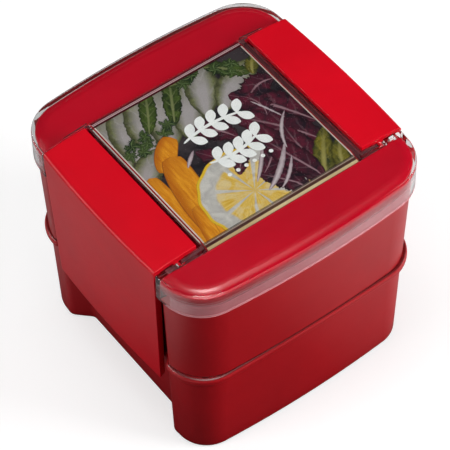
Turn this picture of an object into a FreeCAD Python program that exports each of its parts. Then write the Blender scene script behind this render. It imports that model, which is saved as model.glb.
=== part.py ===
"""Two-tier square lunch box with a clear outer lid and two side latches.

Millimetres. +Z is up, X runs across the two latches and -Y is the front.
The origin is at the centre of the flat base. Every piece is one closed solid.
"""

import FreeCAD, Part
import math
import os

from FreeCAD import Vector

# Heights of the stack.
SHOULDER_LOW = 51.1
NECK_TOP_LOW = 55.6
UPPER_BOTTOM = 51.3
UPPER_HOLLOW_TOP = 58.3
FLOOR_THICKNESS = 2.0
SHOULDER_HIGH = 94.3
NECK_TOP_HIGH = 98.4
SKIRT_BOTTOM = 94.6
LID_TOP = 107.8
WINDOW_TOP = 110.7

# Outlines as (half-width in X, half-width in Y, corner radius, radius of the bowed sides).
BASE_OUTLINE = (55.8, 56.0, 14.0, 520.0)
RIM_OUTLINE = (56.9, 57.1, 15.8, 800.0)
FLANGE_OUTLINE = (58.5, 58.7, 17.2, 1200.0)
UPPER_LOW_OUTLINE = (58.15, 58.0, 18.6, 671.0)
UPPER_HIGH_OUTLINE = (59.65, 59.5, 18.7, 560.0)
LID_OUTLINE = (61.1, 61.4, 18.7, 456.0)

# Side recesses for the latches: (distance of the recess floor from the centre, its half-length).
# The end walls splay outward at 45 degrees.
BASE_RECESS = (47.4, 29.6)
RIM_RECESS = (49.1, 29.9)
LEDGE_RECESS = (54.6, 35.6)
UPPER_LOW_RECESS = (53.0, 35.0)
UPPER_HIGH_RECESS = (54.4, 35.4)
LOW_NECK_RECESS = (49.0, 34.9)
HIGH_NECK_RECESS = (51.85, 40.2)
LOW_MOUTH_RADIUS = 4.0
FLANGE_MOUTH_RADIUS = 2.5
HIGH_MOUTH_RADIUS = 3.0
RECESS_CORNER_RADIUS = 3.0
RECESS_REACH = 25.0
MOUTH_EDGE_Y = (35.0, 42.0)

# Container walls.
FLANGE_BOTTOM = 47.2
FLANGE_TOP_RADIUS = 1.5
FLANGE_BOTTOM_RADIUS = 1.2
SHOULDER_HIGH_RADIUS = 0.6
UPPER_SKIRT_WALL = 1.6
LIP_GAP = 0.15
LIP_THICKNESS = 0.9
NECK_GAP = 0.1
NECK_WALL = 1.6
NECK_ROOT = 2.0
LOW_WALL_AT_FLOOR = 2.65
HIGH_WALL_AT_FLOOR = 2.6
RECESS_WALL_LOW = 2.2
RECESS_WALL_HIGH = 3.4
BASE_EDGE_RADIUS = 1.5
CAVITY_EDGE_RADIUS = 5.0
FOOT_RING_WIDTH = 7.0
FOOT_RING_HEIGHT = 0.8

# Inner lids.
PLATE_THICKNESS = 1.2
LIP_BOTTOM_GAP = 0.3
PLUG_DEPTH = 3.0
PLUG_THICKNESS = 1.2
PLUG_LEDGE = 0.15
PANEL_HALF = 30.0
PANEL_RADIUS = 8.0
PANEL_RISE = 0.8
PANEL_SIDE_RADIUS = 600.0
PANEL_LEAN = 0.6
PLATE_EDGE_RADIUS = 0.5

# Clear lid.
LID_WALL = 1.5
LID_EDGE_RADIUS = 0.6
POCKET_INNER_X = 38.6
POCKET_HALF_Y = 37.4
POCKET_FLOOR_TOP = 101.0
POCKET_FLOOR_THICKNESS = 1.2
NOTCH_X = 54.6
EAR_THICKNESS = 1.8
WINDOW_HALF_Y = 37.0
WINDOW_FOOT_Y = 40.2
WINDOW_CHAMFER = 0.9
WINDOW_THICKNESS = 3.2
WINDOW_ROOT_Z = 103.8

# Latches and their hinges.
HINGE_X = 48.5
HINGE_Z = 106.2
BOSS_RADIUS = 2.4
EAR_OUTER_Y = 39.4
EAR_RISE = 109.8
EAR_FOOT_Z = 103.0
EAR_ROUNDING = 0.8
PIN_RADIUS = 1.25
SOCKET_RADIUS = 1.32
PIN_TIP_Y = 38.7
SOCKET_END_Y = 38.8
LUG_INNER_Y = 32.5
LUG_GAP = 0.5
LATCH_INNER_X = 40.0
LATCH_TOP_X = 60.0
LATCH_TOP_HALF_Y = 37.0
LATCH_BOTTOM_X = 58.0
LATCH_BOTTOM_HALF_Y = 34.6
LATCH_BOTTOM_Z = 37.5
LATCH_BOW = 1.2
FLAP_DROP = 1.6
FLAP_THICKNESS = 2.2
PANEL_THICKNESS = 2.0
END_THICKNESS = 1.6
EDGE_DEPTH = 3.0
EDGE_LEAN = 1.1
FLAP_EDGE_RADIUS = 1.8
HOOK_TIP_X = 54.75
HOOK_BOTTOM = 44.0
HOOK_TOP = 46.9
HOOK_HALF_Y = 26.0

# Lid insert, card and dividers.
INSERT_GAP = 0.15
INSERT_BOTTOM = 101.3
INSERT_PLATE = 1.5
INSERT_RIM = 2.0
INSERT_SHOULDER_WIDTH = 2.1
INSERT_SHOULDER_DROP = 1.2
INSERT_SHOULDER_RADIUS = 7.5
CARD_THICKNESS = 0.2
CARD_GAP = 0.05
CARD_HALF_X = 36.3
CARD_HALF_Y = 39.6
DIVIDER_THICKNESS = 1.5
DIVIDER_GAP = 0.4
DIVIDER_FOOT = 7.0
DIVIDER_FOOT_INSET = 12.0
DIVIDER_LEAN = 1.5
DIVIDER_TOP_GAP = 1.5
DIVIDER_FLOOR_GAP = 0.1
GRIP_RADIUS = 1.4
GRIP_INSET = 8.0

# How far cutting blocks run past the surface they cut, and past the whole box.
OVERCUT = 1.0
DEEP_OVERCUT = 5.0
FAR = 80.0
TOLERANCE = 0.1

INSIDE_CORNER_SHIFT = math.tan(math.radians(22.5))
CORNER_STEPS = 30


def inset(outline, distance):
    """The outline moved inward by a distance, all round."""
    return tuple(value - distance for value in outline)


def inset_recess(recess, distance):
    """The recess outline as it looks on a surface that lies a distance further in."""
    floor_x, half_y = recess
    return (floor_x - distance, half_y + distance * INSIDE_CORNER_SHIFT)


def blend(low, high, fraction):
    """Linear mix of two tuples of sizes."""
    return tuple(a + (b - a) * fraction for a, b in zip(low, high))


def rounded_square(outline, z):
    """Closed wire of four bowed sides joined by tangent corner arcs."""
    half_x, half_y, corner_r, side_r = outline
    side_x = half_x - side_r
    side_y = half_y - side_r
    reach = side_r - corner_r
    corner_x = half_x - corner_r
    corner_y = half_y - corner_r
    for _ in range(CORNER_STEPS):
        corner_x = side_x + math.sqrt(reach ** 2 - corner_y ** 2)
        corner_y = side_y + math.sqrt(reach ** 2 - corner_x ** 2)
    angle_x = math.atan2(corner_y, corner_x - side_x)
    angle_y = math.atan2(corner_y - side_y, corner_x)
    angle_mid = (angle_x + angle_y) / 2
    right = (side_x + side_r * math.cos(angle_x), side_r * math.sin(angle_x))
    back = (side_r * math.cos(angle_y), side_y + side_r * math.sin(angle_y))
    bulge = (corner_x + corner_r * math.cos(angle_mid), corner_y + corner_r * math.sin(angle_mid))
    quarter = [right, bulge, back, (0.0, half_y)]
    ring = []
    for sign_x, sign_y, backward in ((1, 1, False), (-1, 1, True), (-1, -1, False), (1, -1, True)):
        points = [(sign_x * x, sign_y * y) for x, y in quarter]
        if backward:
            points = points[2::-1] + [(sign_x * half_x, 0.0)]
        if not backward and sign_y < 0:
            points = points[:3] + [(0.0, -half_y)]
        ring.extend(points)
    ring = [Vector(x, y, z) for x, y in ring]
    arcs = []
    for index in range(0, len(ring), 2):
        end = ring[(index + 2) % len(ring)]
        arcs.append(Part.Arc(ring[index], ring[index + 1], end).toShape())
    return Part.Wire(arcs)


def solid_between(low, low_z, high, high_z):
    """Solid with straight walls between two rounded squares."""
    wires = [rounded_square(low, low_z), rounded_square(high, high_z)]
    return Part.makeLoft(wires, True, True)


def polygon(points):
    """Closed wire through a list of points."""
    return Part.makePolygon([Vector(*point) for point in points + points[:1]])


def recess_wire(recess, z):
    """Trapezoid of one recess on the +X side."""
    floor_x, half_y = recess
    mouth_x = floor_x + RECESS_REACH
    mouth_y = half_y + RECESS_REACH
    points = [(floor_x, -half_y, z), (mouth_x, -mouth_y, z), (mouth_x, mouth_y, z), (floor_x, half_y, z)]
    return polygon(points)


def recess_pair(low, low_z, high, high_z):
    """Both side recesses, as solids to cut away."""
    right = Part.makeLoft([recess_wire(low, low_z), recess_wire(high, high_z)], True, True)
    floor_x = low[0] + RECESS_CORNER_RADIUS
    edges = pick_edges(right, lambda start, end: end.x < floor_x and end.z - start.z > OVERCUT)
    right = right.makeFillet(RECESS_CORNER_RADIUS, edges)
    return right.fuse(mirrored(right))


def mirrored(shape):
    """The shape's mirror image on the other side of the YZ plane."""
    return shape.mirror(Vector(0, 0, 0), Vector(1, 0, 0))


def pick_edges(shape, test):
    """Edges whose lowest and highest corners pass a test."""
    chosen = []
    for edge in shape.Edges:
        limits = edge.BoundBox
        low = Vector(limits.XMin, limits.YMin, limits.ZMin)
        high = Vector(limits.XMax, limits.YMax, limits.ZMax)
        if test(low, high):
            chosen.append(edge)
    return chosen


def box(x_range, y_range, z_range):
    """Axis-aligned box from three (low, high) ranges."""
    size = [high - low for low, high in (x_range, y_range, z_range)]
    return Part.makeBox(size[0], size[1], size[2], Vector(x_range[0], y_range[0], z_range[0]))


def cylinder_y(x, z, radius, y_low, y_high):
    """Cylinder along Y."""
    return Part.makeCylinder(radius, y_high - y_low, Vector(x, y_low, z), Vector(0, 1, 0))


def round_mouths(shape, radius, least_x):
    """Rounds the upright outer edges of the side recesses, which lie further out than least_x."""
    def is_mouth(low, high):
        upright = high.z - low.z > 3 and high.y - low.y < 1.5
        middle = (low + high) / 2
        low_y, high_y = MOUTH_EDGE_Y
        return upright and abs(middle.x) > least_x and low_y < abs(middle.y) < high_y

    return shape.makeFillet(radius, pick_edges(shape, is_mouth))


def round_level(shape, z, radius):
    """Rounds the whole edge loop that lies at one height."""
    edges = pick_edges(shape, lambda low, high: abs(low.z - z) < TOLERANCE and abs(high.z - z) < TOLERANCE)
    return shape.makeFillet(radius, edges)


def neck_outline(skirt_inside):
    """Outer outline of a neck that leaves room for the inner lid's lip inside a skirt."""
    return inset(skirt_inside, LIP_GAP + LIP_THICKNESS + NECK_GAP)


def low_neck_outline():
    """Outer outline of the lower container's neck."""
    return neck_outline(inset(UPPER_LOW_OUTLINE, UPPER_SKIRT_WALL))


def high_neck_outline():
    """Outer outline of the upper container's neck."""
    return neck_outline(inset(LID_OUTLINE, LID_WALL))


def cavity(bottom, bottom_recess, bottom_z, neck, neck_recess, top_z):
    """Hollow of a container, rounded along its floor."""
    inner_neck = inset(neck, NECK_WALL)
    inner_recess = inset_recess(neck_recess, NECK_WALL)
    plug_z = top_z - PLUG_DEPTH - OVERCUT
    ledge = inset(inner_neck, PLUG_LEDGE)
    ledge_recess = inset_recess(inner_recess, PLUG_LEDGE)
    hollow = solid_between(bottom, bottom_z, ledge, plug_z + PLUG_LEDGE)
    hollow = hollow.cut(recess_pair(bottom_recess, bottom_z - OVERCUT, ledge_recess, plug_z + OVERCUT))
    hollow = round_level(hollow, bottom_z, CAVITY_EDGE_RADIUS)
    return hollow.fuse(neck_ring(inner_neck, inner_recess, plug_z, top_z + OVERCUT))


def neck_ring(outline, recess, low_z, high_z):
    """Solid block of a neck; the cavity is cut from it later."""
    block = solid_between(outline, low_z, outline, high_z)
    return block.cut(recess_pair(recess, low_z - OVERCUT, recess, high_z + OVERCUT))


def make_lower_container():
    """Drafted tub on two feet, with a stacking flange and the neck for its inner lid."""
    body = solid_between(BASE_OUTLINE, 0, RIM_OUTLINE, SHOULDER_LOW)
    recesses = recess_pair(BASE_RECESS, 0, RIM_RECESS, SHOULDER_LOW)
    body = round_mouths(body.cut(recesses), LOW_MOUTH_RADIUS, BASE_RECESS[0] + DEEP_OVERCUT)
    body = round_level(body, 0, BASE_EDGE_RADIUS)
    flange = solid_between(FLANGE_OUTLINE, FLANGE_BOTTOM, FLANGE_OUTLINE, SHOULDER_LOW)
    ledge = recess_pair(LEDGE_RECESS, FLANGE_BOTTOM - OVERCUT, LEDGE_RECESS, SHOULDER_LOW + OVERCUT)
    flange = round_mouths(flange.cut(ledge), FLANGE_MOUTH_RADIUS, LEDGE_RECESS[0] + OVERCUT)
    flange = round_level(flange, SHOULDER_LOW, FLANGE_TOP_RADIUS)
    flange = round_level(flange, FLANGE_BOTTOM, FLANGE_BOTTOM_RADIUS)
    neck = neck_ring(low_neck_outline(), LOW_NECK_RECESS, SHOULDER_LOW - NECK_ROOT, NECK_TOP_LOW)
    bottom = inset(BASE_OUTLINE, LOW_WALL_AT_FLOOR)
    bottom_recess = inset_recess(BASE_RECESS, RECESS_WALL_LOW)
    floor_top = FOOT_RING_HEIGHT + FLOOR_THICKNESS
    hollow = cavity(bottom, bottom_recess, floor_top, low_neck_outline(), LOW_NECK_RECESS, NECK_TOP_LOW)
    container = body.fuse([flange, neck]).cut(hollow)
    ring = inset(BASE_OUTLINE, FOOT_RING_WIDTH)
    ring_recess = inset_recess(BASE_RECESS, FOOT_RING_WIDTH)
    return container.cut(neck_ring(ring, ring_recess, -OVERCUT, FOOT_RING_HEIGHT))


def make_upper_container():
    """Drafted tub whose hollow skirt sits over the lower inner lid, with a neck for its own inner lid."""
    body = solid_between(UPPER_LOW_OUTLINE, UPPER_BOTTOM, UPPER_HIGH_OUTLINE, SHOULDER_HIGH)
    recesses = recess_pair(UPPER_LOW_RECESS, UPPER_BOTTOM, UPPER_HIGH_RECESS, SHOULDER_HIGH)
    body = round_mouths(body.cut(recesses), HIGH_MOUTH_RADIUS, UPPER_HIGH_RECESS[0] + OVERCUT)
    body = round_level(body, SHOULDER_HIGH, SHOULDER_HIGH_RADIUS)
    neck_low = SHOULDER_HIGH - NECK_ROOT
    neck = neck_ring(high_neck_outline(), HIGH_NECK_RECESS, neck_low, NECK_TOP_HIGH)
    under = inset(UPPER_LOW_OUTLINE, UPPER_SKIRT_WALL)
    under_recess = inset_recess(UPPER_LOW_RECESS, UPPER_SKIRT_WALL)
    underside = neck_ring(under, under_recess, UPPER_BOTTOM - OVERCUT, UPPER_HOLLOW_TOP)
    floor_top = UPPER_HOLLOW_TOP + FLOOR_THICKNESS
    fraction = (floor_top - UPPER_BOTTOM) / (SHOULDER_HIGH - UPPER_BOTTOM)
    bottom = inset(blend(UPPER_LOW_OUTLINE, UPPER_HIGH_OUTLINE, fraction), HIGH_WALL_AT_FLOOR)
    bottom_recess = inset_recess(blend(UPPER_LOW_RECESS, HIGH_NECK_RECESS, fraction), RECESS_WALL_HIGH)
    hollow = cavity(bottom, bottom_recess, floor_top, high_neck_outline(), HIGH_NECK_RECESS, NECK_TOP_HIGH)
    return body.fuse(neck).cut(underside).cut(hollow)


def make_inner_lid(neck, neck_recess, shoulder_z, neck_top):
    """Soft lid whose channel grips a neck: outer lip, top plate and inner plug."""
    lip_inside = inset(neck, -NECK_GAP)
    lip_inside_recess = inset_recess(neck_recess, -NECK_GAP)
    lip_outside = inset(lip_inside, -LIP_THICKNESS)
    lip_outside_recess = inset_recess(lip_inside_recess, -LIP_THICKNESS)
    lip_bottom = shoulder_z + LIP_BOTTOM_GAP
    plate_bottom = neck_top + NECK_GAP
    plate_top = plate_bottom + PLATE_THICKNESS
    block = neck_ring(lip_outside, lip_outside_recess, lip_bottom, plate_top)
    block = round_level(block, plate_top, PLATE_EDGE_RADIUS)
    block = block.cut(neck_ring(lip_inside, lip_inside_recess, lip_bottom - OVERCUT, plate_bottom))
    plug_outside = inset(neck, NECK_WALL + NECK_GAP)
    plug_outside_recess = inset_recess(neck_recess, NECK_WALL + NECK_GAP)
    plug_inside = inset(plug_outside, PLUG_THICKNESS)
    plug_inside_recess = inset_recess(plug_outside_recess, PLUG_THICKNESS)
    plug_bottom = neck_top - PLUG_DEPTH
    plug = neck_ring(plug_outside, plug_outside_recess, plug_bottom, plate_bottom)
    inside = neck_ring(plug_inside, plug_inside_recess, plug_bottom - OVERCUT, plate_bottom + OVERCUT)
    plug = plug.cut(inside)
    panel_outline = (PANEL_HALF, PANEL_HALF, PANEL_RADIUS, PANEL_SIDE_RADIUS)
    panel_top = inset(panel_outline, PANEL_LEAN)
    panel_root = plate_bottom + PLATE_THICKNESS / 2
    panel = solid_between(panel_outline, panel_root, panel_top, plate_top + PANEL_RISE)
    return block.fuse([plug, panel])


def make_divider(half_low, half_high, low_z, high_z):
    """Upright partition along X: drafted plate, end ribs and a foot."""
    half_thick = DIVIDER_THICKNESS / 2
    side = [(-half_low, -half_thick, low_z), (half_low, -half_thick, low_z)]
    side = side + [(half_high, -half_thick, high_z), (-half_high, -half_thick, high_z)]
    plate = Part.Face(polygon(side)).extrude(Vector(0, DIVIDER_THICKNESS, 0))
    foot_half = half_low - DIVIDER_FOOT_INSET
    foot = box((-foot_half, foot_half), (-DIVIDER_FOOT, DIVIDER_FOOT), (low_z, low_z + DIVIDER_THICKNESS))
    grip = cylinder_along_x(half_high - GRIP_INSET, high_z - GRIP_RADIUS, GRIP_RADIUS)
    return plate.fuse([foot, grip])


def cylinder_along_x(half_length, z, radius):
    """Cylinder along X, centred."""
    return Part.makeCylinder(radius, 2 * half_length, Vector(-half_length, 0, z), Vector(1, 0, 0))


def make_lower_divider():
    """Partition of the lower container, across its width."""
    floor_top = FOOT_RING_HEIGHT + FLOOR_THICKNESS
    half_low = BASE_RECESS[0] - RECESS_WALL_LOW - CAVITY_EDGE_RADIUS - DIVIDER_GAP
    half_high = LOW_NECK_RECESS[0] - NECK_WALL - DIVIDER_GAP - DIVIDER_LEAN
    top = NECK_TOP_LOW - PLUG_DEPTH - DIVIDER_TOP_GAP
    return make_divider(half_low, half_high, floor_top + DIVIDER_FLOOR_GAP, top)


def make_upper_divider():
    """Partition of the upper container, from front to back."""
    floor_top = UPPER_HOLLOW_TOP + FLOOR_THICKNESS
    outline = inset(UPPER_LOW_OUTLINE, HIGH_WALL_AT_FLOOR)
    half_low = outline[1] - CAVITY_EDGE_RADIUS - DIVIDER_GAP
    half_high = high_neck_outline()[1] - NECK_WALL - DIVIDER_GAP - DIVIDER_LEAN
    top = NECK_TOP_HIGH - PLUG_DEPTH - DIVIDER_TOP_GAP
    divider = make_divider(half_low, half_high, floor_top + DIVIDER_FLOOR_GAP, top)
    divider.rotate(Vector(0, 0, 0), Vector(0, 0, 1), 90)
    return divider


def window_block(half_x, half_y, foot_y, low_z):
    """Raised block with upright X sides and sloping Y sides; foot_y is its half-length at LID_TOP."""
    slope = (foot_y - half_y) / (WINDOW_TOP - LID_TOP)
    low_y = half_y + slope * (WINDOW_TOP - low_z)
    outline = [(-low_y, low_z), (low_y, low_z), (half_y, WINDOW_TOP), (-half_y, WINDOW_TOP)]
    points = [(-half_x, y, z) for y, z in outline]
    return Part.Face(polygon(points)).extrude(Vector(2 * half_x, 0, 0))


def pocket_blocks(grow, floor_z, top_z):
    """Both latch pockets as blocks, grown outward on the sides by a wall thickness."""
    inner = POCKET_INNER_X - grow
    half_y = POCKET_HALF_Y + grow
    right = box((inner, FAR), (-half_y, half_y), (floor_z, top_z))
    return right.fuse(mirrored(right))


def notch_blocks(grow):
    """Both side notches that let the latch panels pass, grown by a wall thickness."""
    half_y = POCKET_HALF_Y + grow
    heights = (SKIRT_BOTTOM - DEEP_OVERCUT, WINDOW_TOP + DEEP_OVERCUT)
    right = box((NOTCH_X - grow, FAR), (-half_y, half_y), heights)
    return right.fuse(mirrored(right))


def on_four_corners(shape):
    """The shape and its mirror images across both upright middle planes."""
    pair = [shape, shape.mirror(Vector(0, 0, 0), Vector(0, 1, 0))]
    return pair + [mirrored(one) for one in pair]


def hinge_ear(grow):
    """Raised ear that runs from the window's corner to a round end on the hinge axis."""
    radius = BOSS_RADIUS + grow
    inner_x = POCKET_INNER_X - OVERCUT
    points = [
        (inner_x, POCKET_HALF_Y, EAR_FOOT_Z),
        (HINGE_X + radius, POCKET_HALF_Y, EAR_FOOT_Z),
        (HINGE_X + radius, POCKET_HALF_Y, HINGE_Z),
        (HINGE_X, POCKET_HALF_Y, HINGE_Z + radius),
        (inner_x, POCKET_HALF_Y, EAR_RISE + grow),
    ]
    depth = EAR_OUTER_Y + grow - POCKET_HALF_Y
    wall = Part.Face(polygon(points)).extrude(Vector(0, depth, 0))

    def is_end_corner(low, high):
        inside = low.x > HINGE_X - TOLERANCE and high.x < HINGE_X + radius - TOLERANCE
        return inside and low.z > HINGE_Z - TOLERANCE and low.y < high.y

    return wall.makeFillet(radius * EAR_ROUNDING, pick_edges(wall, is_end_corner))


def hinge_sockets():
    """Blind holes in the ears for the latch pins."""
    start_y = POCKET_HALF_Y - OVERCUT
    return on_four_corners(cylinder_y(HINGE_X, HINGE_Z, SOCKET_RADIUS, start_y, SOCKET_END_Y))


def shouldered_block(outline, low_z, high_z):
    """Block whose top edge falls away in a wide, shallow round."""
    shoulder_z = high_z - INSERT_SHOULDER_DROP
    base = solid_between(outline, low_z, outline, shoulder_z)
    crown = solid_between(outline, shoulder_z, inset(outline, INSERT_SHOULDER_WIDTH), high_z)
    return round_level(base.fuse(crown), high_z, INSERT_SHOULDER_RADIUS)


def make_lid_shell():
    """Clear outer lid: skirt, raised window, two latch pockets and four hinge ears."""
    outer = solid_between(LID_OUTLINE, SKIRT_BOTTOM, LID_OUTLINE, LID_TOP)
    outer = round_level(outer, LID_TOP, LID_EDGE_RADIUS)
    window = chamfer_top(window_block(POCKET_INNER_X, WINDOW_HALF_Y, WINDOW_FOOT_Y, WINDOW_ROOT_Z))
    outer = outer.cut(pocket_blocks(0, POCKET_FLOOR_TOP, LID_TOP + DEEP_OVERCUT)).cut(notch_blocks(0))
    outer = outer.fuse([window] + on_four_corners(hinge_ear(0)))
    inside = inset(LID_OUTLINE, LID_WALL)
    hollow = shouldered_block(inside, SKIRT_BOTTOM - OVERCUT, LID_TOP - LID_WALL)
    half_y = CARD_HALF_Y + INSERT_GAP
    heights = (WINDOW_ROOT_Z, window_underside())
    under_window = box((-POCKET_INNER_X, POCKET_INNER_X), (-half_y, half_y), heights)
    hollow = hollow.fuse(under_window)
    pocket_underside = POCKET_FLOOR_TOP - POCKET_FLOOR_THICKNESS
    hollow = hollow.cut(pocket_blocks(EAR_THICKNESS, pocket_underside, LID_TOP + DEEP_OVERCUT))
    hollow = hollow.cut(notch_blocks(LID_WALL))
    for ear in on_four_corners(hinge_ear(0)):
        hollow = hollow.cut(ear)
    shell = outer.cut(hollow)
    for socket in hinge_sockets():
        shell = shell.cut(socket)
    return shell


def window_underside():
    """Height of the clear window's flat underside."""
    return WINDOW_TOP - WINDOW_THICKNESS


def chamfer_top(window):
    """Bevels the four top edges of the raised window."""
    edges = pick_edges(window, lambda low, high: low.z > WINDOW_TOP - TOLERANCE)
    return window.makeChamfer(WINDOW_CHAMFER, edges)


def make_lid_insert():
    """Red tray under the clear lid, with a low platform that carries the card."""
    outline = inset(LID_OUTLINE, LID_WALL + INSERT_GAP)
    top = LID_TOP - LID_WALL - CARD_GAP
    tray = shouldered_block(outline, INSERT_BOTTOM, top)
    platform_top = window_underside() - 2 * CARD_GAP - CARD_THICKNESS
    platform_x = POCKET_INNER_X - EAR_THICKNESS - INSERT_GAP
    platform = box((-platform_x, platform_x), (-CARD_HALF_Y, CARD_HALF_Y), (INSERT_BOTTOM, platform_top))
    tray = tray.fuse(platform)
    tray = tray.cut(pocket_blocks(EAR_THICKNESS + INSERT_GAP, INSERT_BOTTOM - OVERCUT, LID_TOP + OVERCUT))
    for ear in on_four_corners(hinge_ear(INSERT_GAP)):
        tray = tray.cut(ear)
    under = inset(outline, INSERT_RIM)
    hollow = solid_between(under, INSERT_BOTTOM - OVERCUT, under, top - INSERT_PLATE)
    pocket_walls = EAR_THICKNESS + INSERT_GAP + INSERT_RIM
    hollow = hollow.cut(pocket_blocks(pocket_walls, INSERT_BOTTOM - DEEP_OVERCUT, LID_TOP + OVERCUT))
    half_x = platform_x - INSERT_RIM
    half_y = CARD_HALF_Y - INSERT_RIM
    heights = (INSERT_BOTTOM - OVERCUT, platform_top - INSERT_PLATE)
    under_platform = box((-half_x, half_x), (-half_y, half_y), heights)
    return tray.cut(hollow).cut(under_platform)


def make_picture_card():
    """Thin printed card between the platform and the window."""
    top = window_underside() - CARD_GAP
    return box((-CARD_HALF_X, CARD_HALF_X), (-CARD_HALF_Y, CARD_HALF_Y), (top - CARD_THICKNESS, top))


def latch_wire(z, margin_x, margin_y, inner_x):
    """Plan section of a latch at one height: bowed outer face and leaning ends."""
    fraction = (z - LATCH_BOTTOM_Z) / (WINDOW_TOP - LATCH_BOTTOM_Z)
    outer_x = LATCH_BOTTOM_X + (LATCH_TOP_X - LATCH_BOTTOM_X) * fraction - margin_x
    half_y = LATCH_BOTTOM_HALF_Y + (LATCH_TOP_HALF_Y - LATCH_BOTTOM_HALF_Y) * fraction - margin_y
    lean_x = outer_x + margin_x - EDGE_DEPTH
    lean_y = half_y - EDGE_LEAN * (1 - fraction)
    front = Vector(outer_x, -half_y, z)
    back = Vector(outer_x, half_y, z)
    points = [back, Vector(lean_x, lean_y, z), Vector(inner_x, lean_y, z)]
    points = points + [Vector(inner_x, -lean_y, z), Vector(lean_x, -lean_y, z), front]
    face_arc = Part.Arc(front, Vector(outer_x + LATCH_BOW, 0, z), back).toShape()
    edges = [Part.makeLine(start, end) for start, end in zip(points, points[1:])]
    return Part.Wire([face_arc] + edges)


def latch_block(margin_x, margin_y, inner_x, low_z):
    """Drafted block of a latch between two heights."""
    wires = [latch_wire(z, margin_x, margin_y, inner_x) for z in (low_z, WINDOW_TOP + OVERCUT)]
    return Part.makeLoft(wires, True, True)


def under_crown(depth):
    """Everything below the flap's crowned top, lowered by a depth."""
    width = LATCH_TOP_X - LATCH_INNER_X
    radius = (width ** 2 + FLAP_DROP ** 2) / (2 * FLAP_DROP)
    centre_z = WINDOW_TOP - radius
    disc = cylinder_y(LATCH_INNER_X, centre_z, radius - depth, -FAR, FAR)
    heights = (LATCH_BOTTOM_Z - DEEP_OVERCUT, WINDOW_TOP + OVERCUT)
    return disc.common(box((0, FAR), (-FAR, FAR), heights))


def inboard_block():
    """Everything inboard of the latch panel's leaning inner face, below the flap."""
    low_z = LATCH_BOTTOM_Z - OVERCUT
    outline = [(0, low_z), (LATCH_BOTTOM_X - EDGE_DEPTH, low_z)]
    outline = outline + [(LATCH_TOP_X - EDGE_DEPTH, WINDOW_TOP), (0, WINDOW_TOP)]
    points = [(x, -FAR, z) for x, z in outline]
    block = Part.Face(polygon(points)).extrude(Vector(0, 2 * FAR, 0))
    return block.common(under_crown(FLAP_THICKNESS))


def hinge_lugs():
    """Round bosses under the flap's ends, their links to the flap and the pins that enter the ears."""
    pieces = []
    for side in (-1, 1):
        low_y, high_y = sorted((side * LUG_INNER_Y, side * (POCKET_HALF_Y - LUG_GAP)))
        pieces.append(cylinder_y(HINGE_X, HINGE_Z, BOSS_RADIUS, low_y, high_y))
        across = (HINGE_X - BOSS_RADIUS, HINGE_X + BOSS_RADIUS)
        pieces.append(box(across, (low_y, high_y), (HINGE_Z, WINDOW_TOP - FLAP_THICKNESS)))
        low_y, high_y = sorted((side * LUG_INNER_Y, side * PIN_TIP_Y))
        pieces.append(cylinder_y(HINGE_X, HINGE_Z, PIN_RADIUS, low_y, high_y))
    return pieces


def is_flap_fold(low, high):
    """Tells the long edge where the flap meets the latch's outer face."""
    return low.x > LATCH_TOP_X - OVERCUT and low.z > LID_TOP and high.y - low.y > LATCH_TOP_HALF_Y


def make_right_latch():
    """Angle-shaped latch: flap on top, panel down the side, hinge lugs and a catch."""
    outer = latch_block(0, 0, LATCH_INNER_X, LATCH_BOTTOM_Z).common(under_crown(0))
    outer = outer.makeFillet(FLAP_EDGE_RADIUS, pick_edges(outer, is_flap_fold))
    cavity_low = LATCH_BOTTOM_Z + PANEL_THICKNESS
    hollow = latch_block(PANEL_THICKNESS, END_THICKNESS, LATCH_INNER_X - DEEP_OVERCUT, cavity_low)
    hollow = hollow.common(under_crown(FLAP_THICKNESS))
    latch = outer.cut(hollow).cut(inboard_block())
    hook = box((HOOK_TIP_X, LATCH_BOTTOM_X), (-HOOK_HALF_Y, HOOK_HALF_Y), (HOOK_BOTTOM, HOOK_TOP))
    return latch.fuse([hook] + hinge_lugs())


def make_parts():
    """All pieces by node name, in their places."""
    right_latch = make_right_latch()
    low_neck = low_neck_outline()
    high_neck = high_neck_outline()
    return {
        "lower_container": make_lower_container(),
        "lower_divider": make_lower_divider(),
        "lower_inner_lid": make_inner_lid(low_neck, LOW_NECK_RECESS, SHOULDER_LOW, NECK_TOP_LOW),
        "upper_container": make_upper_container(),
        "upper_divider": make_upper_divider(),
        "upper_inner_lid": make_inner_lid(high_neck, HIGH_NECK_RECESS, SHOULDER_HIGH, NECK_TOP_HIGH),
        "lid_shell": make_lid_shell(),
        "lid_insert": make_lid_insert(),
        "picture_card": make_picture_card(),
        "right_latch": right_latch,
        "left_latch": mirrored(right_latch),
    }


def export(parts):
    """Writes one STEP file per piece."""
    os.makedirs("parts", exist_ok=True)
    for name, shape in parts.items():
        piece = shape.removeSplitter()
        if len(piece.Solids) != 1 or not piece.isValid():
            raise ValueError(name + " is not one valid solid")
        piece.Solids[0].exportStep("parts/" + name + ".step")


export(make_parts())
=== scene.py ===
"""Looks of the two-tier lunch box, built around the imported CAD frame. Metres, +Z up, -Y is the front."""

import math
import random

import bmesh
import bpy
from mathutils import Matrix, Vector


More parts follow.
